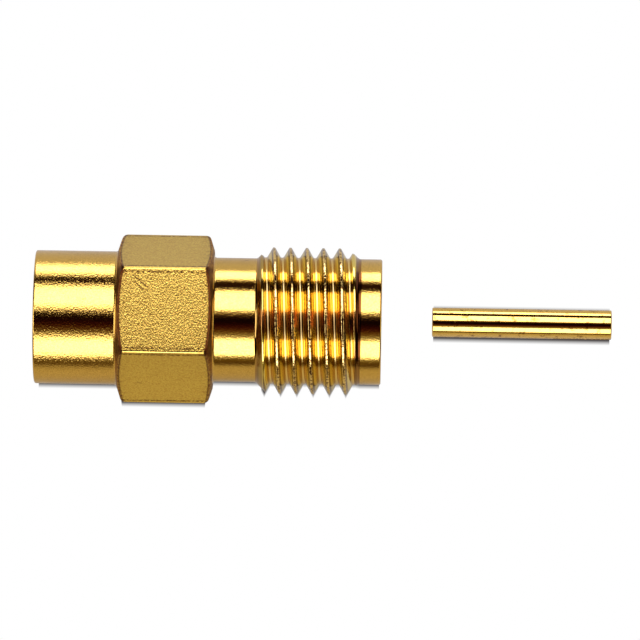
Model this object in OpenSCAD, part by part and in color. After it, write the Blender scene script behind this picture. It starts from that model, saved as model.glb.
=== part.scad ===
// Coaxial threaded jack for semi-rigid cable, laid out as it is supplied: the one-piece
// turned body with its pressed-in insulator, and the socket contact lying loose in front.
// The contact is soldered to the cable first and then pushed in from the cable end.
// The axis runs along X. The origin is the centre of the reference plane, the floor of the
// mating recess on which the plug's outer contact lands. +X points out of the recess and
// +Z is up: the body and the contact both lie on the plane z = -hex_af / 2.

/* [Mating end] */
// Outer diameter of the 1/4-36 thread
thread_d = 6.28; // [6.16:0.01:6.3]
// Pitch of the thread, one thirty-sixth of an inch
thread_pitch = 0.7056; // [0.69:0.0001:0.75]
// Width of the flat left on the thread's crest
thread_crest = 0.088; // [0.07:0.002:0.11]
// Length of the threaded stretch, its sloped ends included
thread_l = 4.36; // [3:0.02:6]
// Slope of the thread's two ends, from the axis
thread_end_angle = 45; // [35:1:55]
// Where the thread groove starts, as a turn round the axis
thread_turn = 221; // [0:1:359]
// Diameter of the plain pilot in front of the thread
pilot_d = 5.39; // [5.3:0.01:5.45]
// Length of the plain pilot
pilot_l = 1; // [0.7:0.05:1.5]
// Diameter of the recess that takes the plug's outer contact
recess_d = 4.62; // [4.6:0.01:4.8]
// Depth of the recess, from the mating face to the reference plane
recess_depth = 1.93; // [1.88:0.01:1.98]

/* [Hexagon and neck] */
// Width across the flats of the hexagon
hex_af = 6.3; // [6.3:0.01:6.5]
// Diameter to which the hexagon's corners are turned
hex_corner_d = 7.24; // [7.1:0.01:7.26]
// Length of the hexagon
hex_l = 4.1; // [3:0.1:6]
// Diameter where the hexagon's end chamfers meet its end faces
hex_face_d = 5.98; // [5.94:0.01:6.1]
// Angle of the hexagon's end chamfers, from its end faces
hex_chamfer_angle = 18; // [12:1:30]
// Radius between the end chamfers and the turned-down corners
hex_corner_r = 0.25; // [0.1:0.01:0.35]
// Diameter of the neck between the hexagon and the thread
neck_d = 5.32; // [5.1:0.01:5.38]
// Length of the neck
neck_l = 1.85; // [1:0.05:4]

/* [Cable end] */
// Outer diameter of the cable hub
hub_d = 5.72; // [5.4:0.01:5.8]
// Length of the cable hub
hub_l = 3.55; // [2:0.05:6]
// Outer diameter of the semi-rigid cable
cable_d = 3.58; // [3.4:0.01:3.8]
// Gap all round the cable, for solder
cable_gap = 0.03; // [0.01:0.01:0.05]
// Lead-in chamfer at the mouth of the cable bore
cable_lead = 0.25; // [0.1:0.01:0.4]

/* [Edges] */
// Edge break on the mating face and on the hub's end
edge_break = 0.06; // [0.02:0.01:0.1]
// Lead-in chamfer at the mouth of the recess
recess_lead = 0.1; // [0.05:0.01:0.15]
// Fillet in the corners that the turning tool leaves
tool_r = 0.12; // [0.05:0.01:0.15]

/* [Insulator and contact] */
// Outer diameter of the insulator
insulator_d = 4.13; // [4:0.01:4.3]
// Gap all round the insulator in its seat, 0 for a line-to-line press fit
insulator_gap = 0; // [0:0.005:0.02]
// Diameter of the contact
contact_d = 1.27; // [1.2:0.01:1.4]
// Length of the contact
contact_l = 7.75; // [6.5:0.05:8.5]
// Gap all round the contact in its insulator
contact_gap = 0.01; // [0.005:0.005:0.03]
// How far the contact's face stays behind the reference plane
contact_set_back = 0.05; // [0:0.01:0.25]
// Diameter of the socket that takes the plug's pin
socket_d = 0.95; // [0.9:0.01:1]
// Depth of the socket
socket_depth = 2.9; // [2.5:0.1:3.3]
// Width of the two slots that make the socket springy
slot_w = 0.2; // [0.15:0.01:0.25]
// Length of the two slots
slot_l = 2.5; // [2:0.1:2.8]
// Diameter of the cup that is soldered to the cable's centre conductor
cup_d = 0.96; // [0.93:0.01:1]
// Depth of the solder cup
cup_depth = 2.4; // [2:0.1:2.8]
// Edge break on the contact's two ends
contact_break = 0.05; // [0.02:0.01:0.08]
// Clear distance from the mating face to the loose contact
contact_apart = 2.19; // [1:0.01:10]
// Sideways place of the loose contact
contact_y = 0.34; // [-2:0.01:2]

/* [Hidden] */
$fn = 96;
cut = 0.05; // how far a cutter reaches past the face that it opens
thread_flank = 30; // half of the 60 degree thread angle
root_relief = 0.01; // how far the thread's root stays outside the pilot and the neck
sections_per_turn = 40; // sections of the thread groove in one turn
root_facets = 3; // facets round the rounded root of the groove
corner_facets = 3; // facets round each rounded corner of the hexagon

mating_face_x = recess_depth;
thread_front_x = mating_face_x - pilot_l;
thread_back_x = thread_front_x - thread_l;
hex_front_x = thread_back_x - neck_l;
hex_back_x = hex_front_x - hex_l;
hub_back_x = hex_back_x - hub_l;

thread_r = thread_d / 2;
root_r = max(pilot_d, neck_d) / 2 + root_relief;
insulator_l = contact_l + contact_set_back;
cable_stop_x = -insulator_l;
cable_bore_d = cable_d + 2 * cable_gap;
seat_d = insulator_d + 2 * insulator_gap;
contact_x = mating_face_x + contact_apart;
contact_z = (contact_d - hex_af) / 2;

// Turns a shape made along +Z so that it lies along +X.
module along_x(x = 0) {
    translate([x, 0, 0]) rotate([0, 90, 0]) children();
}

// Turns an outline of [x, radius] points round the axis.
module turned(outline) {
    along_x() rotate_extrude() polygon([for (p = outline) [p[1], p[0]]]);
}

// The ring of metal that a round-nosed tool leaves in the corner at x, where a cylinder
// of radius r meets a face that climbs from it at an angle. The cylinder lies on the
// side of +X where side is 1, and on the side of -X where it is -1.
module tool_corner(x, r, angle, side) {
    reach = tool_r * tan(angle / 2);
    top = r + reach * sin(angle);
    along_x(x) rotate_extrude() mirror([0, (1 - side) / 2]) difference() {
        polygon([
            [r - cut, reach],
            [r, reach],
            [top, -reach * cos(angle)],
            [top, -reach * cos(angle) - cut],
            [r - cut, -cut],
        ]);
        translate([r + tool_r, reach]) circle(tool_r);
    }
}

// Everything that is turned on the outside: hub, neck, uncut thread and pilot.
module turned_outside() {
    rise_back = (thread_d - neck_d) / 2 / tan(thread_end_angle);
    rise_front = (thread_d - pilot_d) / 2 / tan(thread_end_angle);
    turned([
        [hub_back_x, 0],
        [hub_back_x, hub_d / 2 - edge_break],
        [hub_back_x + edge_break, hub_d / 2],
        [hex_back_x + hex_l / 2, hub_d / 2],
        [hex_back_x + hex_l / 2, neck_d / 2],
        [thread_back_x, neck_d / 2],
        [thread_back_x + rise_back, thread_r],
        [thread_front_x - rise_front, thread_r],
        [thread_front_x, pilot_d / 2],
        [mating_face_x - edge_break, pilot_d / 2],
        [mating_face_x, pilot_d / 2 - edge_break],
        [mating_face_x, 0],
    ]);
}

// One end of the outline that the hexagon's corners are turned to: how far from its end
// face, and at what radius. The arc touches both the chamfer and the turned-down corner.
function hex_end() =
    let (
        chamfer_l = (hex_corner_d - hex_face_d) / 2 * tan(hex_chamfer_angle),
        sweep = 90 - hex_chamfer_angle,
        centre = [chamfer_l + hex_corner_r * tan(sweep / 2), hex_corner_d / 2 - hex_corner_r]
    )
    [
        [0, hex_face_d / 2],
        for (i = [0:corner_facets])
            let (a = 180 - hex_chamfer_angle - i * sweep / corner_facets)
            centre + hex_corner_r * [cos(a), sin(a)],
    ];

// The hexagon, with its corners turned down and both ends chamfered.
module hexagon() {
    end = hex_end();
    intersection() {
        along_x(hex_back_x) rotate(30) cylinder(d = hex_af / cos(30), h = hex_l, $fn = 6);
        turned([
            [hex_back_x, 0],
            for (p = end) [hex_back_x + p[0], p[1]],
            for (i = [len(end) - 1:-1:0]) [hex_front_x - end[i][0], end[i][1]],
            [hex_front_x, 0],
        ]);
    }
}

// Half width of the thread groove at radius r.
function groove_half(r) = (thread_pitch - thread_crest) / 2 - (thread_r - r) * tan(thread_flank);

// Section of the groove as [x, radius] points: the rounded root, then the open side.
// The root is the arc that touches both flanks and reaches down to root_r.
function groove_section() =
    let (
        open_r = thread_r + thread_crest / 2,
        arc_r = groove_half(root_r) / tan(45 - thread_flank / 2),
        from = 270 - (90 - thread_flank),
        step = 2 * (90 - thread_flank) / root_facets
    )
    [
        for (i = [0:root_facets]) arc_r * [cos(from + i * step), sin(from + i * step)] + [0, root_r + arc_r],
        [groove_half(open_r), open_r],
        [-groove_half(open_r), open_r],
    ];

// The right-hand thread groove: one section carried along the helix. It starts over
// the neck and runs out over the pilot, clear of both.
module thread_groove() {
    section = groove_section();
    n = len(section);
    grow = 1 / cos(180 / sections_per_turn);
    start_turn = floor(thread_back_x / thread_pitch) - 1;
    steps = (ceil(thread_front_x / thread_pitch) + 1 - start_turn) * sections_per_turn;
    points = [
        for (i = [0:steps])
            let (turn = start_turn * 360 + i * 360 / sections_per_turn)
            for (p = section)
                [
                    p[0] + thread_pitch * turn / 360,
                    p[1] * grow * cos(turn - thread_turn),
                    p[1] * grow * sin(turn - thread_turn),
                ],
    ];
    sides = [
        for (i = [0:steps - 1], j = [0:n - 1], half = [0, 1])
            let (a = i * n + j, b = i * n + (j + 1) % n)
            half == 0 ? [a, b + n, b] : [a, a + n, b + n],
    ];
    ends = [[for (j = [0:n - 1]) j], [for (j = [n - 1:-1:0]) steps * n + j]];
    polyhedron(points, concat(sides, ends));
}

// The three bores: cable bore, insulator seat and mating recess, in one turned shape.
module bores() {
    turned([
        [hub_back_x - cut, 0],
        [hub_back_x - cut, cable_bore_d / 2 + cable_lead + cut],
        [hub_back_x + cable_lead, cable_bore_d / 2],
        [cable_stop_x, cable_bore_d / 2],
        [cable_stop_x, seat_d / 2],
        [0, seat_d / 2],
        [0, recess_d / 2],
        [mating_face_x - recess_lead, recess_d / 2],
        [mating_face_x + cut, recess_d / 2 + recess_lead + cut],
        [mating_face_x + cut, 0],
    ]);
}

module body() {
    color("goldenrod") difference() {
        union() {
            turned_outside();
            hexagon();
            tool_corner(hex_back_x, hub_d / 2, 90, -1);
            tool_corner(hex_front_x, neck_d / 2, 90, 1);
            tool_corner(thread_back_x, neck_d / 2, thread_end_angle, -1);
            tool_corner(thread_front_x, pilot_d / 2, thread_end_angle, 1);
        }
        thread_groove();
        bores();
    }
}

module insulator() {
    color("white") difference() {
        along_x(cable_stop_x) cylinder(d = insulator_d, h = insulator_l);
        along_x(cable_stop_x - cut) cylinder(d = contact_d + 2 * contact_gap, h = insulator_l + 2 * cut);
    }
}

// The loose contact. Its socket looks along +X and its solder cup back to the body.
module contact() {
    color("gold") translate([contact_x, contact_y, contact_z]) difference() {
        turned([
            [0, 0],
            [0, contact_d / 2 - contact_break],
            [contact_break, contact_d / 2],
            [contact_l - contact_break, contact_d / 2],
            [contact_l, contact_d / 2 - contact_break],
            [contact_l, 0],
        ]);
        along_x(-cut) cylinder(d = cup_d, h = cup_depth + cut);
        along_x(contact_l - socket_depth) cylinder(d = socket_d, h = socket_depth + cut);
        translate([contact_l - slot_l, -contact_d, -slot_w / 2]) cube([slot_l + cut, 2 * contact_d, slot_w]);
    }
}

body();
insulator();
contact();
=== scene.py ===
"""A gold-plated coaxial jack for semi-rigid cable, with its loose contact, on a pale table.

Lengths in the shape functions are millimetres, and Skin.piece turns them into metres.
The axis runs along X, out of the mating recess, and every angle round it is measured
from +Y towards +Z.
"""

import math
from types import SimpleNamespace

import bmesh
import bpy
import numpy as np
from mathutils import Matrix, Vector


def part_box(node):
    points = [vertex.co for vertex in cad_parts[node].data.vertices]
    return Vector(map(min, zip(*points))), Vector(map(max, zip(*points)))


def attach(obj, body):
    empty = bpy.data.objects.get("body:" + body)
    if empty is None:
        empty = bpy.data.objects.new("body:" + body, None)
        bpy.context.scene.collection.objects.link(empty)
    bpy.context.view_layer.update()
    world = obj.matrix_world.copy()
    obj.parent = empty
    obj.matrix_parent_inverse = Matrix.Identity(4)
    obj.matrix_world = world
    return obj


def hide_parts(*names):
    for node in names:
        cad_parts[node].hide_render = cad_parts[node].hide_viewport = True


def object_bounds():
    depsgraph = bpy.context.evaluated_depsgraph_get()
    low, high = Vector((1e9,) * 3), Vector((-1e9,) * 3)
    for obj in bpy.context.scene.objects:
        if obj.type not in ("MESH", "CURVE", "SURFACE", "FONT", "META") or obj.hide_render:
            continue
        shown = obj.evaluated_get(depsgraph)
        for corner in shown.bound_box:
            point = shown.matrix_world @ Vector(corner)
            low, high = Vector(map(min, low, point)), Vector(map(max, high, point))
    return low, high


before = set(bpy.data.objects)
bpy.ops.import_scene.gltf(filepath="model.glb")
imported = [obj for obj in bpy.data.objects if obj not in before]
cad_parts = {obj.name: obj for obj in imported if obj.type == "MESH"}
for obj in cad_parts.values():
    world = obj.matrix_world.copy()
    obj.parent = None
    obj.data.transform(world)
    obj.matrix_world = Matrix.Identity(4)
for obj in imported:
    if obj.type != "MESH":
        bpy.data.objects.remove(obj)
CAD_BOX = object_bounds()

bl_info = {
    "name": "Coaxial Cable Jack",
    "version": (1, 0, 0),
    "blender": (4, 5, 0),
    "location": "View3D > Sidebar > Jack",
    "description": "Builds a gold-plated coaxial jack, its insulator and its loose contact",
    "category": "Add Mesh",
}

MM = 0.001
TURN = 2 * np.pi
WELD = 2e-7  # metres within which two points are one
SPARE = 0.02  # millimetres to the extra row that keeps the shading of a straight stretch straight


# ---------------------------------------------------------------- sizes and colours


def length(name, description, mm):
    """A length in millimetres, kept in metres as the unit asks."""
    return bpy.props.FloatProperty(
        name=name, description=description, default=mm * MM, min=0, unit="LENGTH", precision=5
    )


def degrees(name, description, value, low, high):
    """An angle, kept in degrees."""
    return bpy.props.FloatProperty(
        name=name, description=description, default=value, min=low, max=high
    )


def colour(name, description, rgb):
    """A colour, as linear red, green and blue."""
    return bpy.props.FloatVectorProperty(
        name=name, description=description, default=rgb, min=0, max=1, size=3, subtype="COLOR"
    )


class JackSizes(bpy.types.PropertyGroup):
    """Sizes of the turned body and of the insulator inside it."""

    thread_d: length("Thread diameter", "Outer diameter of the mating thread", 6.28)
    thread_pitch: length("Thread pitch", "Advance of the thread in one turn", 0.7056)
    thread_crest: length("Thread crest", "Width of the flat left on the crest", 0.088)
    thread_l: length("Threaded length", "Threaded stretch with its sloped ends", 4.36)
    thread_turn: degrees("Thread start", "Turn of the groove, in degrees", 221, 0, 360)
    pilot_d: length("Pilot diameter", "Plain stretch in front of the thread", 5.39)
    pilot_l: length("Pilot length", "Plain stretch in front of the thread", 1.0)
    recess_d: length("Recess diameter", "Mating recess in the front face", 4.62)
    recess_depth: length("Recess depth", "From the front face to the reference plane", 1.93)
    hex_af: length("Hexagon", "Width across the flats", 6.3)
    hex_corner_d: length("Hexagon corners", "Diameter of the turned-down corners", 7.24)
    hex_face_d: length("Hexagon face", "Diameter where the chamfers meet the end faces", 5.98)
    hex_chamfer: degrees("Hexagon chamfer", "From the end faces, in degrees", 18, 5, 45)
    hex_corner_r: length("Hexagon corner", "Radius between the chamfers and the corners", 0.25)
    hex_l: length("Hexagon length", "Along the axis", 4.1)
    neck_d: length("Neck diameter", "Between the hexagon and the thread", 5.32)
    neck_l: length("Neck length", "Between the hexagon and the thread", 1.85)
    hub_d: length("Hub diameter", "Plain stretch at the cable end", 5.72)
    hub_l: length("Hub length", "Plain stretch at the cable end", 3.55)
    cable_bore_d: length("Cable bore", "Diameter of the bore that the cable is soldered in", 3.64)
    insulator_d: length("Insulator diameter", "Insulator and its seat", 4.13)
    insulator_l: length("Insulator length", "From the reference plane to the shoulder", 7.8)
    insulator_hole_d: length("Insulator hole", "Hole for the contact", 1.29)
    tool_r: length("Corner radius", "Left by the turning tool in the inner corners", 0.12)
    edge_r: length("Edge radius", "On the rims of the hub and of the front face", 0.08)


class ContactSizes(bpy.types.PropertyGroup):
    """Sizes and place of the loose contact."""

    contact_d: length("Contact diameter", "Outer diameter", 1.27)
    contact_l: length("Contact length", "Overall length", 7.75)
    socket_d: length("Socket diameter", "Bore for the plug's pin", 0.95)
    socket_depth: length("Socket depth", "Bore for the plug's pin", 2.9)
    slot_w: length("Slot width", "The two slots of the socket", 0.2)
    slot_l: length("Slot length", "The two slots of the socket", 2.5)
    cup_d: length("Cup diameter", "Bore for the cable's conductor", 0.96)
    cup_depth: length("Cup depth", "Bore for the cable's conductor", 2.4)
    edge_r: length("Edge radius", "On the two ends", 0.05)


class Finishes(bpy.types.PropertyGroup):
    """Colours of the two materials and of the stage."""

    gold: colour("Gold", "Colour of the gold plating", (0.94, 0.59, 0.13))
    # This colour also paints the brown shade on the chamfers and the thread's feet.
    stain_and_shade: colour("Stain", "Colour of the brown stains on the plating", (0.25, 0.09, 0.02))
    plastic: colour("Insulator", "Colour of the insulator", (0.9, 0.9, 0.87))
    table: colour("Table", "Colour of the table", (0.45, 0.45, 0.44))


def in_mm(group):
    """The group's values by name, with lengths in millimetres and the rest as they are."""
    values = {}
    for prop in group.bl_rna.properties:
        if prop.identifier not in ("rna_type", "name"):
            value = getattr(group, prop.identifier)
            values[prop.identifier] = value / MM if prop.unit == "LENGTH" else value
    return SimpleNamespace(**values)


def stations(s):
    """Where the body's stretches end along X, in millimetres from the reference plane: each
    is the one in front of it less that stretch's length."""
    thread_front = s.recess_depth - s.pilot_l
    thread_back = thread_front - s.thread_l
    hex_front = thread_back - s.neck_l
    hex_back = hex_front - s.hex_l
    return SimpleNamespace(
        front=s.recess_depth,
        thread_front=thread_front,
        thread_back=thread_back,
        hex_front=hex_front,
        hex_back=hex_back,
        hub_back=hex_back - s.hub_l,
    )


def root_radius(s):
    """The thread's root stands just proud of the plain stretches beside it."""
    return max(s.pilot_d, s.neck_d) / 2 + 0.01


def contact_place():
    """The middle of the loose contact's near end, in millimetres, from its CAD node."""
    low, high = (np.array(corner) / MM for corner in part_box("contact"))
    return low[0], (low[1] + high[1]) / 2, (low[2] + high[2]) / 2


# ---------------------------------------------------------------- shapes


class Skin:
    """A closed mesh, gathered from sheets of quads whose touching edges are welded."""

    def __init__(self):
        self.points, self.quads, self.count = [], [], 0

    def sheet(self, points):
        """Adds a grid of points, an array of rows, columns and 3 coordinates. Each quad
        joins row i, column j to the next row and column."""
        rows, columns = points.shape[:2]
        index = self.count + np.arange(rows * columns).reshape(rows, columns)
        corners = (index[:-1, :-1], index[:-1, 1:], index[1:, 1:], index[1:, :-1])
        self.quads.append(np.stack([c.ravel() for c in corners], axis=1))
        self.points.append(points.reshape(-1, 3))
        self.count += rows * columns

    def piece(self, name, material):
        """Makes the object: welds the sheets, turns the faces outwards, shades it smooth."""
        mesh = bpy.data.meshes.new(name)
        points, quads = np.concatenate(self.points) * MM, np.concatenate(self.quads)
        mesh.from_pydata(points.tolist(), [], quads.tolist())
        work = bmesh.new()
        work.from_mesh(mesh)
        bmesh.ops.remove_doubles(work, verts=work.verts, dist=WELD)
        bmesh.ops.dissolve_degenerate(work, edges=work.edges, dist=WELD)
        bmesh.ops.recalc_face_normals(work, faces=work.faces)
        if any(not edge.is_manifold for edge in work.edges):
            raise RuntimeError(name + " isn't closed")
        work.to_mesh(mesh)
        work.free()
        mesh.shade_smooth()
        mesh.materials.append(material)
        piece = bpy.data.objects.new(name, mesh)
        bpy.context.scene.collection.objects.link(piece)
        return piece


def turned(x, radius, angle):
    """Points of a turned surface: x along the axis, radius * (cos, sin) of the angle in
    Y and Z. The three arrays are broadcast together."""
    x, radius, angle = np.broadcast_arrays(x, radius, angle)
    return np.stack([x, radius * np.cos(angle), radius * np.sin(angle)], axis=-1)


def rounded(corners, radii, steps=5):
    """A profile with its corners, but for the two ends, turned into arcs. An arc touches
    both edges of its corner; its centre lies on the bisector, its points are spread evenly by
    angle, and one more point on each side keeps the shading of the straight stretch straight."""
    p, r = np.array(corners, float), np.array(radii[1:-1], float)[:, None]
    back, ahead = p[:-2] - p[1:-1], p[2:] - p[1:-1]
    back_l, ahead_l = (np.linalg.norm(v, axis=1, keepdims=True) for v in (back, ahead))
    back, ahead = back / back_l, ahead / ahead_l
    half = np.arccos(np.clip((back * ahead).sum(1, keepdims=True), -1, 1)) / 2
    bisector = (back + ahead) / np.linalg.norm(back + ahead, axis=1, keepdims=True)
    centre = p[1:-1] + bisector * r / np.sin(half)
    touch = r / np.tan(half)
    first, last = p[1:-1] + back * touch - centre, p[1:-1] + ahead * touch - centre
    sweep = np.pi - 2 * half
    t = np.linspace(0, 1, steps)[None, :, None]
    weights = np.sin((1 - t) * sweep[:, None]), np.sin(t * sweep[:, None])
    arcs = weights[0] * first[:, None] + weights[1] * last[:, None]
    arcs = centre[:, None] + arcs / np.sin(sweep)[:, None]
    spare = np.minimum(SPARE, 0.2 * np.minimum(back_l, ahead_l))
    before, after = p[1:-1] + back * (touch + spare), p[1:-1] + ahead * (touch + spare)
    parts = np.concatenate([before[:, None], arcs, after[:, None]], axis=1).reshape(-1, 2)
    return np.concatenate([p[:1], parts, p[-1:]])


def around(profile, angle):
    """The sheet that a profile of [x, radius] rows makes when it is turned. A row is added
    just inside each end, so that what joins on there doesn't bend the shading further in."""
    ends = []
    for end, inner in ((profile[0], profile[1]), (profile[-1], profile[-2])):
        way = (inner - end) / np.linalg.norm(inner - end)
        ends.append(end + way * min(SPARE, 0.2 * np.linalg.norm(inner - end)))
    profile = np.concatenate([profile[:1], ends[:1], profile[1:-1], ends[1:], profile[-1:]])
    return turned(profile[:, :1], profile[:, 1:], angle[None, :])


def ripple(points, wavelength, seed):
    """Smooth noise between about -1 and 1: the mean of plane waves in random directions."""
    rng = np.random.default_rng(seed)
    waves = rng.normal(size=(3, 14))
    waves *= TURN / wavelength * rng.uniform(0.6, 1.8, 14) / np.linalg.norm(waves, axis=0)
    return np.sin(points @ waves + rng.uniform(0, TURN, 14)).mean(-1) * 2.2


def lesser(a, b, blend):
    """The smaller of two arrays, with the crease between them rounded over blend."""
    near = np.clip(blend - np.abs(a - b), 0, None) / blend
    return np.minimum(a, b) - near * near * blend / 4


def body_angles(s):
    """Angles round the body: even steps, with closer ones at the hexagon's corners, where
    each turned-down corner spans a land to either side."""
    step, clearance = 1.8, 0.3  # degrees
    even = np.arange(0, 360, step)
    corners = np.arange(0, 360, 60)
    gap = np.abs((even[:, None] - corners + 180) % 360 - 180).min(1)
    land = 30 - math.degrees(math.acos(s.hex_af / s.hex_corner_d))
    offsets = np.array([0.45, 0.8, 1.0, 1.25, 1.7]) * land
    offsets = np.concatenate([-offsets[::-1], [0], offsets])
    near = (corners[:, None] + offsets).ravel() % 360
    angles = np.sort(np.concatenate([even[gap > offsets.max() + clearance], near]))
    return np.radians(np.append(angles, 360 + angles[0]))


def hexagon(s, x, angle):
    """The hexagon from one end face to the other. At each angle its radius is that of the
    flat, apothem / cos(angle from the flat's normal), or of the turned corner where that is
    less. Each end is an outline that climbs from the end face: a cone, then an arc into the
    turned corner. Its rows are spread by length along that outline, up to the side's radius."""
    crease = 0.012
    from_normal = (angle % (TURN / 6)) - TURN / 12
    flat = s.hex_af / 2 / np.cos(from_normal)
    side = lesser(flat, np.full_like(flat, s.hex_corner_d / 2), crease)[None, :]
    lean, r = math.radians(s.hex_chamfer), s.hex_corner_r
    face_r, centre_r = s.hex_face_d / 2, s.hex_corner_d / 2 - r
    centre_x = (s.hex_corner_d / 2 - face_r) * math.tan(lean) + r * math.tan(np.pi / 4 - lean / 2)
    touch_r = centre_r + r * math.sin(lean)
    cone_l = (touch_r - face_r) / math.cos(lean)
    on_arc = np.clip((side - centre_r) / r, math.sin(lean), 1)
    reach = (np.minimum(side, touch_r) - face_r) / math.cos(lean) + r * (np.arcsin(on_arc) - lean)
    t = np.array([0, 0.04, 0.3, 0.55, 0.68, 0.76, 0.84, 0.91, 0.965, 1])[:, None] * reach
    arc = lean + np.clip(t - cone_l, 0, None) / r
    straight = t <= cone_l
    end_r = np.where(straight, face_r + t * math.cos(lean), centre_r + r * np.sin(arc))
    end_x = np.where(straight, t * math.sin(lean), centre_x - r * np.cos(arc))
    along = np.array([0.004, 0.02, 0.25, 0.5, 0.75, 0.98, 0.996])[:, None]
    side_x = end_x[-1:] + along * (s.hex_l - 2 * end_x[-1:])
    rows_x = np.concatenate([end_x, side_x, s.hex_l - end_x[::-1]])
    rows_r = np.concatenate([end_r, np.repeat(end_r[-1:], len(along), 0), end_r[::-1]])
    return turned(x + rows_x, rows_r, angle[None, :])


def threaded(s, back, front, angle):
    """The threaded stretch. Rows follow the groove: in one turn they move one pitch along
    +X. The radius is that of the groove, a round root between two straight flanks, or of the
    blank where that is less: thread, sloped ends and the fillets at their feet."""
    pitch, crest_r, root_r = s.thread_pitch, s.thread_d / 2, root_radius(s)
    wear, crest_blend, foot_blend = 0.012, 0.03, 0.04
    flank = math.radians(30)
    slope = math.tan(flank)
    half_floor = (pitch - s.thread_crest) / 2 - (crest_r - root_r) * slope
    arc_r = half_floor / slope
    arc_half = arc_r * math.cos(flank)
    crest_edge = (pitch - s.thread_crest) / 2
    # Rows from the middle of the groove: along the round root, up the flank, close together
    # over the edge of the crest, and to the middle of the crest.
    half = np.concatenate(
        [
            np.linspace(0, arc_half, 4),
            np.linspace(arc_half + 0.012, crest_edge - 0.034, 3),
            crest_edge + np.array([-0.02, -0.008, 0.004, 0.016]),
            [crest_edge + 0.03, pitch / 2],
        ]
    )
    across = np.concatenate([-half[:0:-1], half])[:-1]
    turns = s.thread_turn / 360 + angle[None, :] / TURN
    first = math.floor(back / pitch - s.thread_turn / 360) - 2
    last = math.ceil(front / pitch - s.thread_turn / 360) + 1
    rows = (np.arange(first, last + 1)[:, None] * pitch + across).reshape(-1, 1)
    x = np.clip(rows + turns * pitch, back, front)

    offset = np.abs((x / pitch - turns + 0.5) % 1 - 0.5) * pitch
    arc = root_r + arc_r - np.sqrt(np.clip(arc_r**2 - offset**2, 0, None))
    straight = root_r + arc_r / 2 + (offset - arc_half) / slope
    groove = np.where(offset < arc_half, arc, straight)
    # Worn crests: shallow random dents along the top of the thread.
    place = turned(x, crest_r, angle[None, :])
    dents = ripple(place, wavelength=0.5, seed=3) + 0.6 * ripple(place, wavelength=0.16, seed=4)
    top = crest_r - wear * np.clip(dents, 0, 2)
    blank = np.full_like(x, crest_r)
    for foot, foot_r, way in ((back, s.neck_d / 2, 1), (front, s.pilot_d / 2, -1)):
        # The profile's foot: an arc that leaves the plain stretch, then a 45 degree cone.
        depth = (x - foot) * way
        reach = s.tool_r * math.sin(math.radians(45))
        low = s.tool_r - np.sqrt(np.clip(s.tool_r**2 - depth**2, 0, None))
        cone = s.tool_r * (1 - math.cos(math.radians(45))) + depth - reach
        blank = lesser(blank, foot_r + np.where(depth < reach, low, cone), foot_blend)
    return turned(x, np.minimum(lesser(groove, top, crest_blend), blank), angle[None, :])


def make_body(s, material):
    """One closed skin: the turned profile, the hexagon and the thread share their edges."""
    at = stations(s)
    reach = s.tool_r * math.tan(math.radians(22.5))
    groove_back, groove_front = at.thread_back - reach, at.thread_front + reach
    hex_face, hub, neck = s.hex_face_d / 2, s.hub_d / 2, s.neck_d / 2
    bore, seat, recess, pilot = (
        d / 2 for d in (s.cable_bore_d, s.insulator_d, s.recess_d, s.pilot_d)
    )
    bore_chamfer, recess_chamfer = 0.25, 0.1
    blunt, crisp, sharp = 0.03, 0.02, 0.01
    # From the hexagon's back face along the hub, through the bores, and back to the thread.
    corners = (
        (at.hex_back, hex_face, 0),
        (at.hex_back, hub, s.tool_r),
        (at.hub_back, hub, s.edge_r),
        (at.hub_back, bore + bore_chamfer, blunt),
        (at.hub_back + bore_chamfer, bore, blunt),
        (-s.insulator_l, bore, crisp),
        (-s.insulator_l, seat, sharp),
        (0, seat, sharp),
        (0, recess, crisp),
        (at.front - recess_chamfer, recess, blunt),
        (at.front, recess + recess_chamfer, blunt),
        (at.front, pilot, s.edge_r),
        (groove_front, pilot, 0),
    )
    inside = rounded([(x, r) for x, r, _ in corners], [edge for _, _, edge in corners])
    neck_profile = rounded(
        [[at.hex_front, hex_face], [at.hex_front, neck], [groove_back, neck]], [0, s.tool_r, 0]
    )
    angle = body_angles(s)
    skin = Skin()
    skin.sheet(around(inside, angle))
    skin.sheet(hexagon(s, at.hex_back, angle))
    skin.sheet(around(neck_profile, angle))
    skin.sheet(threaded(s, groove_back, groove_front, angle))
    return skin.piece("body_gold", material)


def make_insulator(s, material):
    """A turned ring: a rectangle of [x, radius] with small rounded corners."""
    inner, outer = s.insulator_hole_d / 2, s.insulator_d / 2
    back, middle = -s.insulator_l, -s.insulator_l / 2
    profile = rounded(
        [
            [middle, outer],
            [0, outer],
            [0, inner],
            [back, inner],
            [back, outer],
            [middle, outer],
        ],
        [0, 0.03, 0.04, 0.04, 0.03, 0],
        steps=4,
    )
    skin = Skin()
    skin.sheet(around(profile, np.linspace(0, TURN, 97)))
    return skin.piece("insulator_bush", material)


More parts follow.
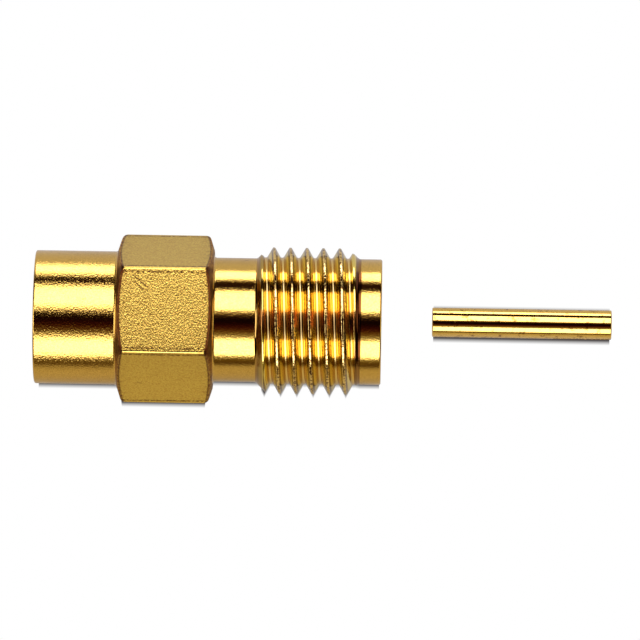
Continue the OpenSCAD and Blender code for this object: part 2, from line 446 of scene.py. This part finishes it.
def make_contact(s, corner, material):
    """The loose contact: a rod with a solder cup towards the body and a slotted socket
    at the far end. Every ring has the same columns, whose angles on the outside and in the
    bore are those of the slots' parallel walls, so the two prongs join the rod exactly."""
    outer, bore, cup = s.contact_d / 2, s.socket_d / 2, s.cup_d / 2
    cup_point, socket_point = 0.25, 0.22  # depth of the drill's point past each bore
    edges = [math.asin(s.slot_w / 2 / r) for r in (outer, bore)]
    gap_steps, prong_steps = 4, 32
    half_turn = gap_steps + prong_steps
    gap, prong = np.linspace(0, 1, gap_steps + 1), np.linspace(0, 1, prong_steps + 1)

    def ring(edge):
        """Angles of one turn: first slot, prong, second slot, prong."""
        half = np.concatenate([edge * (2 * gap[:-1] - 1), edge + (np.pi - 2 * edge) * prong[:-1]])
        return np.concatenate([half, half + np.pi, [half[0] + TURN]])

    outside, inside = (ring(edge) for edge in edges)
    slot_end, tip, r = s.contact_l - s.slot_l, s.contact_l, s.edge_r
    rod = rounded(
        [
            [slot_end, outer],
            [0, outer],
            [0, cup],
            [s.cup_depth, cup],
            [s.cup_depth + cup_point, 0],
        ],
        [0, r, 0.03, 0.02, 0],
        steps=6,
    )
    socket_end = tip - s.socket_depth
    socket = np.array([[slot_end, bore], [socket_end, bore], [socket_end - socket_point, 0]])
    skin = Skin()
    skin.sheet(around(rod, outside))
    skin.sheet(around(socket, inside))
    slots = [slice(i, i + gap_steps + 1) for i in (0, half_turn)]
    prongs = [slice(i + gap_steps, i + half_turn + 1) for i in (0, half_turn)]
    for part in slots:
        rims = turned(slot_end, outer, outside[part]), turned(slot_end, bore, inside[part])
        skin.sheet(np.stack(rims))
    # Rows of a prong: where its outside and its bore stand as it runs out to the tip.
    turn = np.linspace(0, np.pi / 2, 5)
    straight_x = [slot_end, slot_end + SPARE, tip - r - SPARE]
    rows_x = np.concatenate([straight_x, tip - r + r * np.sin(turn)])
    trim = np.concatenate([[0, 0, 0], r * (1 - np.cos(turn))])
    for part in prongs:
        outer_sheet = turned(rows_x[:, None], outer - trim[:, None], outside[part][None, :])
        inner_sheet = turned(rows_x[:, None], bore + 0.5 * trim[:, None], inside[part][None, :])
        loop = np.concatenate([outer_sheet, inner_sheet[:, ::-1], outer_sheet[:, :1]], axis=1)
        skin.sheet(loop)
        skin.sheet(np.stack([outer_sheet[-1], inner_sheet[-1]]))
    skin.points = [points + np.array(corner) for points in skin.points]
    return skin.piece("contact_gold", material)


# ---------------------------------------------------------------- materials


class Value:
    """A socket that does sums: an expression on values adds the Math nodes for it."""

    def __init__(self, sheet, socket):
        self.sheet, self.socket = sheet, socket

    def _math(self, operation, *terms):
        return self.sheet.node("ShaderNodeMath", {"operation": operation}, *terms)

    def __add__(self, other):
        return self._math("ADD", self, other)

    def __sub__(self, other):
        return self._math("SUBTRACT", self, other)

    def __rsub__(self, other):
        return self._math("SUBTRACT", other, self)

    def __mul__(self, other):
        return self._math("MULTIPLY", self, other)

    __radd__, __rmul__ = __add__, __mul__

    def __truediv__(self, other):
        return self._math("DIVIDE", self, other)

    def __pow__(self, other):
        return self._math("POWER", self, other)

    def __abs__(self):
        return self._math("ABSOLUTE", self)

    def __gt__(self, other):
        return self._math("GREATER_THAN", self, other)

    def __lt__(self, other):
        return self._math("LESS_THAN", self, other)

    def angle(self, other):
        """The angle in radians whose tangent is this value over the other."""
        return self._math("ARCTAN2", self, other)

    def zigzag(self, top):
        """Up from 0 to top and down again, over and over."""
        return self._math("PINGPONG", self, top)

    def between(self, low, high):
        """0 at low, 1 at high and a straight line between; low may be the greater."""
        return self.sheet.node("ShaderNodeMapRange", {}, self, low, high, 0.0, 1.0)

    def ramp(self, low, high):
        """0 below low, 1 above high, and a smooth step between; low may be the greater."""
        settings = {"interpolation_type": "SMOOTHSTEP"}
        return self.sheet.node("ShaderNodeMapRange", settings, self, low, high, 0.0, 1.0)


class Sheet:
    """The node tree of one material, light or world."""

    def __init__(self, owner):
        owner.use_nodes = True
        self.tree = owner.node_tree
        self.tree.nodes.clear()

    def node(self, kind, settings, *values, out=0, **named):
        """Adds a node: its settings first, then a number, a colour or a Value for each
        socket, by place or by name. Returns the Value of the output asked for."""
        node = self.tree.nodes.new(kind)
        for key, value in settings.items():
            setattr(node, key, value)
        pairs = list(enumerate(values)) + [(k.replace("_", " "), v) for k, v in named.items()]
        for key, value in pairs:
            if isinstance(value, Value):
                self.tree.links.new(value.socket, node.inputs[key])
            elif value is not None:
                node.inputs[key].default_value = value
        return Value(self, node.outputs[out]) if len(node.outputs) else node

    def mix(self, factor, *colours):
        """Mixes two colours, each a Value or red, green and blue."""
        pair = [rgb if isinstance(rgb, Value) else (*rgb, 1) for rgb in colours]
        # The node's first socket is the factor, and its seventh and eighth are the colours.
        return self.node("ShaderNodeMix", {"data_type": "RGBA"}, factor, *[None] * 5, *pair, out=2)

    def follow(self, value, stops):
        """The colour at a value between -180 and 180, by straight lines between the stops."""
        found = self.node("ShaderNodeValToRGB", {}, value / 360 + 0.5)
        marks = found.socket.node.color_ramp.elements
        while len(marks) < len(stops):
            marks.new(0.5)
        for mark, (at, rgb) in zip(marks, stops):
            mark.position, mark.color = at / 360 + 0.5, (*rgb, 1)
        return found

    def position(self):
        """Object coordinates and the radius from the axis, both in millimetres."""
        place = self.node("ShaderNodeTexCoord", {}, out="Object")
        place = self.node("ShaderNodeVectorMath", {"operation": "SCALE"}, place, Scale=1 / MM)
        parts = [self.node("ShaderNodeSeparateXYZ", {}, place, out=i) for i in range(3)]
        radius = (parts[1] * parts[1] + parts[2] * parts[2]) ** 0.5
        return place, parts, radius

    def noise(self, place, scale, detail=2.0, roughness=0.5, distortion=0.0, stretch=None):
        """Noise with about scale features a millimetre, 0 to 1 round 0.5."""
        if stretch:
            place = self.node("ShaderNodeMapping", {}, place, Scale=stretch)
        return self.node(
            "ShaderNodeTexNoise",
            {},
            Vector=place,
            Scale=scale,
            Detail=detail,
            Roughness=roughness,
            Distortion=distortion,
        )

    def surface(self, shader):
        """Makes the shader the material's surface."""
        self.node("ShaderNodeOutputMaterial", {}, shader)


def bump(sheet, height, distance):
    """A Bump node that raises the surface by height times distance, in millimetres."""
    return sheet.node("ShaderNodeBump", {}, Strength=1.0, Distance=distance * MM, Height=height)


# Colours that lie over the plating's own, linear.
CLOUD = (0.8, 0.43, 0.08)  # broad faint patches
MOTTLE = (0.66, 0.36, 0.06)  # small dark spots
GLINT = (1.0, 0.76, 0.14)  # between those spots, on the hexagon
FLANK = (0.97, 0.71, 0.16)  # the thread's flanks
# Painted shade: a darker, redder strip along the flanks, at the top and the underside.
PAINTED_FLANK_SHADE = (0.95, 0.42, 0.1)  # a reddish strip along them
# Painted highlight: the groove's floor is paler, for a bright line along it.
PAINTED_ROOT_HIGHLIGHT = (1.0, 0.74, 0.3)  # the groove's floor
# Painted highlight: crests paler than the plating.
PAINTED_CREST_HIGHLIGHT = (0.98, 0.68, 0.22)  # the thread's crests
SALT = (0.55, 0.32, 0.05)  # the finest dark spots, off the thread
DIRT_AND_SHADE = (0.11, 0.03, 0.007)  # nearly black, for dirt and painted shade

# Depth of the plating's grain in millimetres, coarse and fine.
HUB_GRAIN = (0.0088, 0.0022)
CREST_GRAIN = (0.0070, 0.0016)
THREAD_GRAIN = (0.0025, 0.0004)
PLAIN_GRAIN = (0.0040, 0.0018)
CONTACT_GRAIN = (0.0008, 0.0002)

# Depth of the hexagon's relief in millimetres: its orange peel, its coarse grain, its streaks.
PEEL, HEX_GRAIN, STREAK = 0.0049, 0.0016, 0.0036

# Scratches across the hexagon's upper flat, in millimetres: how far in front of its back face
# each starts, where it starts along Y, and its length.
SCRATCHES = ((0.7, 1.5, 0.85), (0.78, 1.2, 0.5))


def plating_field(sheet):
    """What the plating's masks are made from: the place in millimetres, the radius from the
    axis, and the noises that more than one of them uses."""
    place, (x, y, z), radius = sheet.position()
    return SimpleNamespace(
        place=place,
        x=x,
        y=y,
        z=z,
        radius=radius,
        grain=sheet.noise(place, 14, 2, 0.5),
        fine=sheet.noise(place, 34, 2, 0.6),
        cloud=sheet.noise(place, 1.6, 3, 0.55),
        mottle=sheet.noise(place, 12, 3, 0.7).between(0.3, 0.7),
        speck=sheet.noise(place, 2.6, 4, 0.65, 0.4).ramp(0.66, 0.74),
    )


def grained(f, depths):
    """Height of the plating's grain, by its coarse and its fine depth."""
    return depths[0] * f.grain + depths[1] * f.fine


def body_zones(s, f):
    """Masks of the body's stretches, 1 on each and 0 off it: by the place along the axis,
    on the thread also by the radius between its root and its crest, and on the hexagon by
    how far a place is past the edge between the flats and the chamfers."""
    at = stations(s)
    x, y, radius = f.x, f.y, f.radius
    root_r, crest_r = root_radius(s), s.thread_d / 2
    hexagon = (x > at.hex_back - 0.01) * (x < at.hex_front + 0.01)
    thread = (x > at.thread_back - 0.05) * (x < at.thread_front + 0.05)
    crest = thread * radius.ramp(crest_r - 0.05, crest_r - 0.02)
    flank = thread * radius.ramp(root_r + 0.03, root_r + 0.09) * (1 - crest)
    # The groove's floor is dull, and pale: a painted highlight, most of all away from the sides.
    root = (x > at.thread_back + 0.35) * (x < at.thread_front - 0.35)
    root = root * radius.ramp(root_r + 0.008, root_r + 0.002)
    root = root * (0.25 + 0.75 * y.ramp(1.5, 1.15) * y.ramp(-2.1, -1.6))
    slope = (radius - s.hex_face_d / 2) * math.tan(math.radians(s.hex_chamfer))
    end = abs(x - (at.hex_back + at.hex_front) / 2) - s.hex_l / 2 + slope
    side = hexagon * (radius > s.neck_d / 2 + 0.1)
    return SimpleNamespace(
        hub=x < at.hex_back - 0.01,
        hexagon=hexagon,
        chamfer=side * end.between(-0.1, -0.05),
        # Painted shadow: a thin line along the edge between the flats and the chamfers.
        painted_rim_shadow=side * end.between(-0.14, -0.09) * (1 - end.between(-0.07, -0.03)),
        border=hexagon * end.between(-0.6, -0.1),
        thread=thread,
        crest=crest,
        # Painted shadow just under the crests.
        shadow_under_crest=thread * radius.ramp(crest_r - 0.17, crest_r - 0.12) * (1 - crest),
        flank=flank,
        # Painted shade on a strip of the flanks, at the top and the underside.
        painted_flank_shade=flank * y.ramp(-0.8, -0.45) * y.ramp(0.25, -0.05),
        root=root,
    )


def body_relief(sheet, f, on):
    """Height of the body's skin in millimetres, by stretch: sandy on the hub, orange peel
    and slanting streaks on the hexagon, broken on the thread's crests, and fine on the rest
    of the thread, the neck and the pilot."""
    peel = sheet.noise(f.place, 13, 2, 0.6, 0.8, stretch=(1.6, 0.95, 0.95))
    # The streaks run 20 degrees off +Y, towards +X.
    across, along = 0.94 * f.x - 0.35 * f.y, 0.35 * f.x + 0.94 * f.y
    slant = sheet.node("ShaderNodeCombineXYZ", {}, across * 8.0, along * 1.5, f.z * 4.0)
    streak = sheet.noise(slant, 1.6, 3, 0.6)
    plain = (1 - on.hub) * (1 - on.hexagon) * (1 - on.thread)
    return (
        on.hub * grained(f, HUB_GRAIN)
        + on.hexagon * (PEEL * peel + HEX_GRAIN * f.grain + STREAK * streak)
        + on.crest * grained(f, CREST_GRAIN)
        + on.thread * (1 - on.crest) * grained(f, THREAD_GRAIN)
        + plain * grained(f, PLAIN_GRAIN)
    )


def body_dirt_and_shade(s, f, on, chips):
    """Mask of a nearly black colour, painted shade in most places and dirt in some. Painted
    shade: under the thread's crests, in the foot of its flanks, at its front end, on the
    hexagon's upper chamfers and along their edge. Dirt: in chips on the crests and in the
    scratches. Beside the corners it is a dark, broken line. chips is the noise that breaks
    it up."""
    at = stations(s)
    x, y, z, radius = f.x, f.y, f.z, f.radius
    root_r, corner_r = root_radius(s), s.hex_corner_d / 2
    # Painted shadow under the crests and along the edge of the hexagon's chamfers.
    dirt_and_shade = on.shadow_under_crest * 0.85 * f.grain.ramp(0.25, 0.45) + on.painted_rim_shadow * (0.3 + 0.8 * chips)
    dirt_and_shade = dirt_and_shade + on.crest * 0.9 * chips.ramp(0.5, 0.56)
    # Painted shade in the foot of the flanks, just above the groove's floor.
    groove_foot_shade = on.thread * radius.ramp(root_r + 0.008, root_r + 0.016)
    dirt_and_shade = dirt_and_shade + groove_foot_shade * radius.ramp(root_r + 0.14, root_r + 0.08) * 0.3
    # Painted shade at the last turn's end and on the upper chamfers, off the body's two sides.
    clear = y.ramp(2.0, 1.8) * y.ramp(-2.0, -1.8)
    gap = x.ramp(at.thread_front - 0.13, at.thread_front - 0.09)
    gap = gap * x.ramp(at.thread_front + 0.16, at.thread_front + 0.1)
    dirt_and_shade = dirt_and_shade + gap * clear * 0.96 + on.chamfer * clear * (z > 0) * (0.6 + 0.5 * chips)
    edge = radius.ramp(corner_r - 0.1, corner_r - 0.08)
    edge = edge * radius.ramp(corner_r - 0.04, corner_r - 0.055)
    dirt_and_shade = dirt_and_shade + on.hexagon * edge * chips.ramp(0.4, 0.55) * 0.8
    # Each scratch runs 40 degrees off +X, towards -Y.
    for from_back, start, run in SCRATCHES:
        right, back = x - at.hex_back - from_back, y - start
        along = right * 0.77 - back * 0.64
        off = abs(right * 0.64 + back * 0.77 + 0.05 * f.cloud - 0.02)
        scratch = (z > s.hex_af / 2 - 0.05) * (along > 0) * (along < run)
        dirt_and_shade = dirt_and_shade + scratch * off.ramp(0.045, 0.015) * 0.7
    return dirt_and_shade


def body_wear_and_painted_light(sheet, s, f):
    """The body's relief and roughness, the colours of its stretches, each after its mask, with
    painted highlights and a painted shade among them, the mask of its brown stains and brown
    painted shade, and its dirt and painted shade, a colour after its mask too."""
    at, on = stations(s), body_zones(s, f)
    salt = sheet.noise(f.place, 20, 2, 0.6).between(0.4, 0.6)
    salt = salt * (on.hexagon * 0.32 + (1 - on.hexagon) * (1 - on.thread) * 0.6)
    chips = sheet.noise(f.place, 9, 3, 0.7, 0.5)
    # Painted brown shade: on the hexagon's chamfers, also dull, and less on the thread's two feet.
    foot = (f.x > at.thread_back - 0.02) * (f.x < at.thread_back + 0.3)
    foot = foot + 1.4 * (f.x > at.thread_front - 0.12) * (f.x < at.thread_front + 0.1)
    smudge = on.border * chips.ramp(0.48, 0.62) * 0.4
    rough = 0.07 + on.hexagon * 0.05 + on.crest * 0.03 + on.flank * 0.02 + on.root * 0.36
    return SimpleNamespace(
        relief=body_relief(sheet, f, on),
        rough=rough + on.chamfer * 0.35 + on.painted_flank_shade * 0.12,
        layers=(
            (f.mottle * (0.2 + 0.6 * on.hexagon), MOTTLE),
            ((1 - f.mottle) * on.hexagon * 0.75, GLINT),
            # Light comes out of the thread's grooves after three turns: their flanks are pale.
            (on.flank, FLANK),
            # Below: painted shade on a strip of the flanks, painted highlights on the floor and
            # crests.
            (on.painted_flank_shade, PAINTED_FLANK_SHADE),
            (on.root, PAINTED_ROOT_HIGHLIGHT),
            (on.crest, PAINTED_CREST_HIGHLIGHT),
            (salt, SALT),
        ),
        # Brown on the chamfers and the thread's feet is painted shade; the smudges are stains.
        brown=on.chamfer * (0.55 + 0.6 * chips.ramp(0.4, 0.65)) + foot * 0.55 + smudge,
        dirt_and_shade=((body_dirt_and_shade(s, f, on, chips), DIRT_AND_SHADE),),
    )


def contact_wear(sheet, f):
    """Like the body's, for the contact: a fine even skin with brown stains, and no dirt or
    painted shade.
    """
    return SimpleNamespace(
        relief=grained(f, CONTACT_GRAIN),
        rough=0.07,
        layers=((f.mottle * 0.2, MOTTLE),),
        brown=sheet.noise(f.place, 3.5, 4, 0.7).ramp(0.55, 0.64) * 0.75,
        dirt_and_shade=(),
    )


def gold_plating(name, finishes, s=None):
    """Gold plating over turned brass, worn and with painted highlights and shade as the body is
    if its sizes are given, and as the contact is if not. Each layer of colour lies over the
    ones before it by its mask."""
    material = bpy.data.materials.new(name)
    sheet = Sheet(material)
    f = plating_field(sheet)
    wear = body_wear_and_painted_light(sheet, s, f) if s else contact_wear(sheet, f)
    stain_and_shade = tuple(finishes.stain_and_shade)
    base = tuple(finishes.gold)
    for mask, rgb in (
        (f.cloud.ramp(0.45, 0.75) * 0.18, CLOUD),
        *wear.layers,
        (f.speck * 0.45, stain_and_shade),
        (wear.brown, stain_and_shade),
        *wear.dirt_and_shade,
    ):
        base = sheet.mix(mask, base, rgb)
    shader = sheet.node(
        "ShaderNodeBsdfPrincipled",
        {},
        Base_Color=base,
        Metallic=1.0,
        Roughness=wear.rough + f.speck * 0.15,
        Normal=bump(sheet, wear.relief, 1.0),
    )
    sheet.surface(shader)
    return material


def white_plastic(name, finishes):
    """Plain fluoropolymer: soft gloss, a faint turned grain across the end faces."""
    material = bpy.data.materials.new(name)
    sheet = Sheet(material)
    place, _, radius = sheet.position()
    rings = sheet.noise(sheet.node("ShaderNodeCombineXYZ", {}, radius * 9.0, 0.0, 0.0), 3.0, 2)
    cloud = sheet.noise(place, 1.2, 2)
    base = sheet.mix(cloud * 0.25, tuple(finishes.plastic), (0.8, 0.79, 0.75))
    shader = sheet.node(
        "ShaderNodeBsdfPrincipled",
        {},
        Base_Color=base,
        Roughness=0.42 + 0.1 * cloud,
        Subsurface_Weight=0.15,
        Subsurface_Scale=0.0004,
        Normal=bump(sheet, rings, 0.004),
    )
    sheet.surface(shader)
    return material


# The table's own colours, linear: beside the jack on the -Y side, past the edge of the pale
# sheet, and where the pieces shade it.
TABLE_NEAR, TABLE_FAR, TABLE_SHADE = (0.42, 0.36, 0.19), (0.1, 0.065, 0.02), (0.09, 0.08, 0.078)


def table_top(name, finishes, s, c):
    """A pale sheet that ends some way off, where a dark table shows. The camera sees it
    white, and glossy rays partly so, but for the grey shade right under the pieces. The shade
    reaches nearly as far from the axis as the piece over it does: its half width is a sum of
    steps, one where each diameter gives way to the next, and of a ridge under each crest."""
    material = bpy.data.materials.new(name)
    sheet = Sheet(material)
    _, (x, y, _), _ = sheet.position()
    at, (contact_x, contact_y, _) = stations(s), contact_place()
    nothing = -9.0
    on_thread = (x > at.thread_back + 0.2) * (x < at.thread_front - 0.2)
    # On the side that the camera sees, half a turn from +Y, a crest stands at this x.
    crest = (s.thread_turn / 360 + 1) * s.thread_pitch
    ridge = (1 - (x - crest).zigzag(s.thread_pitch / 2) / 0.25).between(0, 1)
    ridge = on_thread * (s.thread_d - s.neck_d) / 2 * ridge
    reach, before = nothing / 2 + ridge, nothing
    for step, across in (
        (at.hub_back - 0.02, s.hub_d),
        (at.hex_back + 0.05, s.hex_corner_d),
        (at.hex_front - 0.3, s.neck_d),
        (at.thread_front, s.pilot_d),
        (at.front + 0.02, nothing),
        (contact_x - 0.02, c.contact_d + 0.62),
        (contact_x + c.contact_l + 0.02, nothing),
    ):
        reach = reach + (x - step).between(-0.08, 0.08) * ((across - before) / 2)
        before = across
    middle = (x > at.front) * contact_y
    lit = (abs(y - middle) - reach).between(-0.33, -0.13)
    far = 1 - (1 - y.ramp(-13, -40)) * (1 - abs(x + 1).ramp(18, 40))
    near = y.ramp(-1, -5)
    base = sheet.mix(near, tuple(finishes.table), TABLE_NEAR)
    base = sheet.mix(far, base, TABLE_FAR)
    camera, glossy, through = (
        sheet.node("ShaderNodeLightPath", {}, out=ray)
        for ray in ("Is Camera Ray", "Is Glossy Ray", "Is Transmission Ray")
    )
    seen = camera + through + glossy * (1 - far) * (0.26 - 0.11 * near)
    plain = sheet.node(
        "ShaderNodeBsdfPrincipled", {}, Base_Color=base, Roughness=1.0, Specular_IOR_Level=0.0
    )
    white = sheet.mix(lit, TABLE_SHADE, (1, 1, 1))
    white = sheet.node("ShaderNodeEmission", {}, white, 1.0)
    sheet.surface(sheet.node("ShaderNodeMixShader", {}, seen, plain, white))
    return material


# ---------------------------------------------------------------- stage


# The room round the axis: degrees from straight up, positive towards +Y, and how bright it is
# there. The glow beside each lamp is what its cloth throws on the dark hood over the jack.
ROOM = (
    (-93, (0.11, 0.065, 0.02)),
    (-87, (0.14, 0.09, 0.02)),
    (-82, (0.2, 0.18, 0.08)),
    (-76.3, (0.9, 0.9, 0.9)),
    (-43, (0.9, 0.95, 1.0)),
    (-40.6, (0.62, 0.66, 0.68)),
    (-36.7, (0.33, 0.31, 0.22)),
    (-32.9, (0.2, 0.145, 0.07)),
    (-29.1, (0.117, 0.062, 0.02)),
    (-25.4, (0.071, 0.021, 0.01)),
    (-21.6, (0.044, 0.006, 0.006)),
    (-17.9, (0.026, 0.004, 0.006)),
    (-13, (0.007, 0.001, 0.002)),
    (-3, (0.003, 0.001, 0.002)),
    (0.6, (0.024, 0.007, 0.006)),
    (4.3, (0.15, 0.1, 0.07)),
    (8, (0.38, 0.34, 0.3)),
    (10.8, (0.7, 0.7, 0.7)),
    (48.2, (0.6, 0.6, 0.6)),
    (51.7, (0.06, 0.04, 0.02)),
    (57, (0.02, 0.007, 0.006)),
    (67, (0.02, 0.007, 0.006)),
    (70.5, (0.1, 0.06, 0.03)),
    (74.5, (0.5, 0.5, 0.45)),
    (93, (0.1, 0.1, 0.1)),
)

# Towards the ends of the axis the room is nearly black, and off each end stands a wall.
ROOM_END, ROOM_WALL = (0.012, 0.005, 0.004), (1.6, 1.6, 1.55)

# Each lamp's angle towards +Y and lean towards +X, distance, size and brightness, as softbox
# takes them.
LAMPS = {
    "softbox_back": (29.5, 0, 0.6, (0.5, 0.4062), 3.1),
    "softbox_front": (-59.65, 0, 0.6, (0.5, 0.359), 2.9),
    "card_back": (83.15, 0, 0.06, (0.05, 0.0202), 3.6),
    "lamp_left": (-15, -55, 0.6, (0.2, 0.42), 3.0),
}
LAMP_COLOUR = (1.0, 1.0, 1.22)

# The camera, in degrees: how high over the table it stands, how far that leans towards +X,
# and its turn about its own axis. Then, in millimetres: how far off it is, the width that it
# sees, and the middle of its view along X and up its frame.
ELEVATION, YAW, ROLL = 83.2, 0.5, 1.0
DISTANCE, WIDTH = 320.0, 27.47
VIEW_X, VIEW_UP = -0.71, 0.055
SENSOR = 36  # millimetres


def softbox(name, towards, aside, distance, size, radiance):
    """A rectangular lamp that faces the origin. towards is the angle of its middle from
    straight up, positive towards +Y, and aside is how far it then leans towards +X. size is
    along X and across, in metres, and radiance is how bright it looks."""
    data = bpy.data.lights.new(name, "AREA")
    data.shape, data.size, data.size_y = "RECTANGLE", *size
    data.energy = radiance * math.pi * size[0] * size[1]
    data.color = LAMP_COLOUR
    lamp = bpy.data.objects.new(name, data)
    turn = Matrix.Rotation(-math.radians(towards), 4, "X")
    lean = Matrix.Rotation(math.radians(aside), 4, "Y")
    lamp.matrix_world = turn @ lean @ Matrix.Translation((0, 0, distance))
    lamp.visible_camera = False
    bpy.context.scene.collection.objects.link(lamp)
    return lamp


def make_world():
    """White behind everything for the camera. For the rest, the dark room that ROOM lists,
    with a bright wall off each end of the axis."""
    world = bpy.data.worlds.new("room")
    bpy.context.scene.world = world
    sheet = Sheet(world)
    seen = sheet.node("ShaderNodeLightPath", {}, out="Is Camera Ray")
    way = sheet.node("ShaderNodeTexCoord", {}, out="Generated")
    x, y, z = (sheet.node("ShaderNodeSeparateXYZ", {}, way, out=i) for i in range(3))
    dim = sheet.follow(y.angle(z) * (360 / TURN), ROOM)
    dim = sheet.mix((x * x).ramp(0.12, 0.4), dim, ROOM_END)
    dim = sheet.mix((x * x).ramp(0.84, 0.9), dim, ROOM_WALL)
    white = sheet.node("ShaderNodeBackground", {}, (1, 1, 1, 1), 1.0)
    room = sheet.node("ShaderNodeBackground", {}, dim, 1.0)
    shader = sheet.node("ShaderNodeMixShader", {}, seen, room, white)
    sheet.node("ShaderNodeOutputWorld", {}, shader)


def make_camera():
    """A long lens, tilted a little towards -Y and turned a little about its own axis."""
    data = bpy.data.cameras.new("camera")
    data.sensor_width = SENSOR
    data.lens = SENSOR * DISTANCE / WIDTH
    data.clip_start, data.clip_end = 0.01, 20
    tilt, yaw, roll = (math.radians(v) for v in (90 - ELEVATION, YAW, ROLL))
    away = np.array([math.sin(yaw), -math.sin(tilt), math.cos(tilt)])
    away /= np.linalg.norm(away)
    level = np.cross([0, 1.0, 0], away)
    level /= np.linalg.norm(level)
    upright = np.cross(away, level)
    right = level * math.cos(roll) + upright * math.sin(roll)
    up = upright * math.cos(roll) - level * math.sin(roll)
    target = np.array([VIEW_X, 0, 0]) + upright * VIEW_UP
    camera = bpy.data.objects.new("camera", data)
    place = (target + away * DISTANCE) * MM
    matrix = np.eye(4)
    matrix[:3, 0], matrix[:3, 1], matrix[:3, 2], matrix[:3, 3] = right, up, away, place
    camera.matrix_world = Matrix(matrix.tolist())
    bpy.context.scene.collection.objects.link(camera)
    bpy.context.scene.camera = camera


# ---------------------------------------------------------------- operators


class JACK_OT_body(bpy.types.Operator):
    """Make the turned body with its hexagon, thread and bores"""

    bl_idname = "jack.make_body"
    bl_label = "Make Body"

    def execute(self, context):
        s = in_mm(context.scene.jack_sizes)
        plating = gold_plating("gold_body", context.scene.jack_finishes, s)
        piece = make_body(s, plating)
        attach(piece, "root")
        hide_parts("body")
        return {"FINISHED"}


class JACK_OT_insulator(bpy.types.Operator):
    """Make the insulator inside the body"""

    bl_idname = "jack.make_insulator"
    bl_label = "Make Insulator"

    def execute(self, context):
        s = in_mm(context.scene.jack_sizes)
        piece = make_insulator(s, white_plastic("insulator", context.scene.jack_finishes))
        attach(piece, "root")
        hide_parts("insulator")
        return {"FINISHED"}


class JACK_OT_contact(bpy.types.Operator):
    """Make the loose contact in front of the body"""

    bl_idname = "jack.make_contact"
    bl_label = "Make Contact"

    def execute(self, context):
        s = in_mm(context.scene.contact_sizes)
        plating = gold_plating("gold_contact", context.scene.jack_finishes)
        piece = make_contact(s, contact_place(), plating)
        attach(piece, "root")
        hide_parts("contact")
        return {"FINISHED"}


class JACK_OT_stage(bpy.types.Operator):
    """Make the table, the lamps, the room and the camera"""

    bl_idname = "jack.make_stage"
    bl_label = "Make Stage"

    def execute(self, context):
        mesh = bpy.data.meshes.new("table")
        half, z = 2.0, CAD_BOX[0][2]
        corners = [(-half, -half, z), (half, -half, z), (half, half, z), (-half, half, z)]
        mesh.from_pydata(corners, [], [(0, 1, 2, 3)])
        s, c = in_mm(context.scene.jack_sizes), in_mm(context.scene.contact_sizes)
        mesh.materials.append(table_top("table", context.scene.jack_finishes, s, c))
        table = bpy.data.objects.new("table", mesh)
        context.scene.collection.objects.link(table)
        for name, settings in LAMPS.items():
            softbox(name, *settings)
        make_world()
        make_camera()
        context.scene.view_settings.view_transform = "Standard"
        return {"FINISHED"}


class JACK_PT_panel(bpy.types.Panel):
    """Sizes, colours and the buttons that build the jack"""

    bl_label = "Coaxial Cable Jack"
    bl_idname = "JACK_PT_panel"
    bl_space_type = "VIEW_3D"
    bl_region_type = "UI"
    bl_category = "Jack"

    def draw(self, context):
        scene = context.scene
        for group in (scene.jack_sizes, scene.contact_sizes, scene.jack_finishes):
            column = self.layout.column(align=True)
            for prop in group.bl_rna.properties:
                if prop.identifier not in ("rna_type", "name"):
                    column.prop(group, prop.identifier)
        for operator in OPERATORS:
            self.layout.operator(operator.bl_idname)


OPERATORS = (JACK_OT_body, JACK_OT_insulator, JACK_OT_contact, JACK_OT_stage)
CLASSES = (JackSizes, ContactSizes, Finishes, *OPERATORS, JACK_PT_panel)


def register():
    for cls in CLASSES:
        bpy.utils.register_class(cls)
    bpy.types.Scene.jack_sizes = bpy.props.PointerProperty(type=JackSizes)
    bpy.types.Scene.contact_sizes = bpy.props.PointerProperty(type=ContactSizes)
    bpy.types.Scene.jack_finishes = bpy.props.PointerProperty(type=Finishes)


def unregister():
    del bpy.types.Scene.jack_finishes
    del bpy.types.Scene.contact_sizes
    del bpy.types.Scene.jack_sizes
    for cls in reversed(CLASSES):
        bpy.utils.unregister_class(cls)


def main():
    register()
    bpy.ops.jack.make_body()
    bpy.ops.jack.make_insulator()
    bpy.ops.jack.make_contact()
    bpy.ops.jack.make_stage()


if __name__ == "__main__":
    main()
